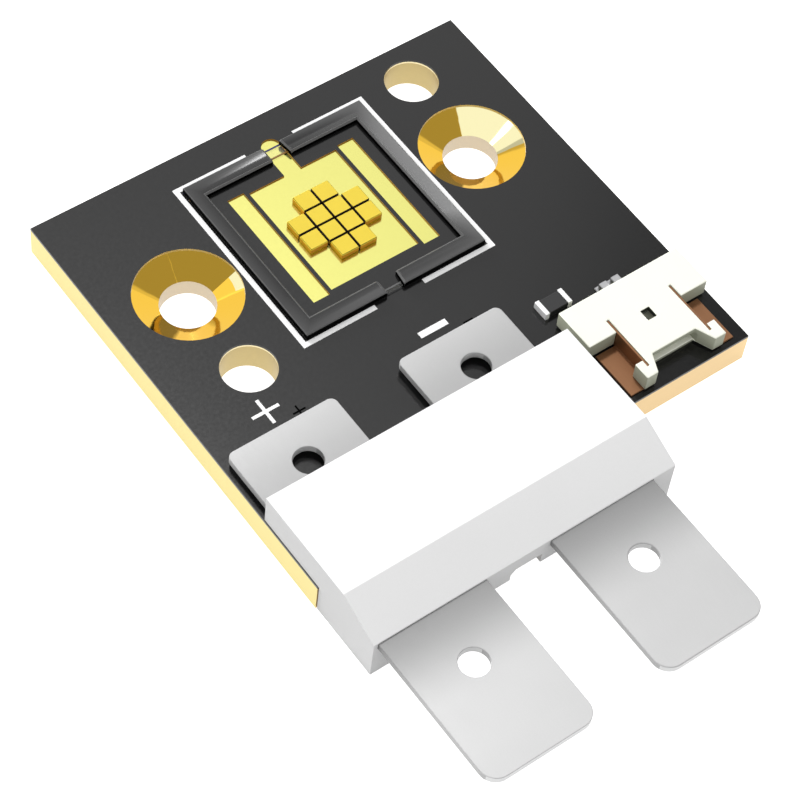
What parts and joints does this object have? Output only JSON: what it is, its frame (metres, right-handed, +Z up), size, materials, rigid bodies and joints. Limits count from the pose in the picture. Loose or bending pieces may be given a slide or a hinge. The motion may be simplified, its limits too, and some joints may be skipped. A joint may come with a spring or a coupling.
{
  "type": "chip-on-board led module",
  "caption": "Chip-on-board LED module: framed yellow chips on a black metal-core board, with blade terminals in a white block and a small sensor connector.",
  "frame": {"origin": "centre of the board's flat underside", "axes": "+Z up out of the lit face; +Y towards the board's rear edge, away from the blades; +X along the terminal block towards the connector"},
  "size_m": [0.028, 0.0401, 0.004],
  "materials": {
    "plated_core": "thin matt gold plating over the copper core",
    "mask_black": "matt black solder mask",
    "land_gold": "pale gold plating, satin",
    "chip_yellow": "phosphor-coated chip, smooth",
    "clear_film": "clear adhesive film",
    "frame_black": "matt black moulded frame",
    "print_white": "white printed ink",
    "print_dark": "black printed ink",
    "blade_metal": "tin-plated, fine lengthwise grain",
    "solder": "dull solder",
    "block_white": "white moulded nylon, matt",
    "header_ivory": "ivory moulded nylon, matt",
    "tab_copper": "bare copper alloy, satin",
    "contact_metal": "tin-plated contact",
    "sensor_ceramic": "dark ceramic",
    "sensor_cap": "tinned end cap"
  },
  "bodies": {
    "root": {"base_plate": "plated_core", "circuit_layer": "mask_black", "die_pad": "land_gold", "strip_pad_left": "land_gold", "strip_pad_right": "land_gold", "chip_01": "chip_yellow", "chip_02": "chip_yellow", "chip_03": "chip_yellow", "chip_04": "chip_yellow", "chip_05": "chip_yellow", "chip_06": "chip_yellow", "chip_07": "chip_yellow", "chip_08": "chip_yellow", "chip_09": "chip_yellow", "chip_10": "chip_yellow", "chip_11": "chip_yellow", "chip_12": "chip_yellow", "frame_adhesive": "clear_film", "frame_left": "frame_black", "frame_right": "frame_black", "outline_print_left": "print_white", "outline_print_right": "print_white", "plus_print": "print_white", "small_plus_print": "print_dark", "minus_print": "print_white", "small_minus_print": "print_dark", "blade_left": "blade_metal", "blade_right": "blade_metal", "solder_left": "solder", "solder_right": "solder", "terminal_block": "block_white", "connector_housing": "header_ivory", "connector_tab_left": "tab_copper", "connector_tab_right": "tab_copper", "connector_contact_left": "contact_metal", "connector_contact_right": "contact_metal", "thermistor_body": "sensor_ceramic", "thermistor_cap_left": "sensor_cap", "thermistor_cap_right": "sensor_cap"}
  },
  "joints": []
}
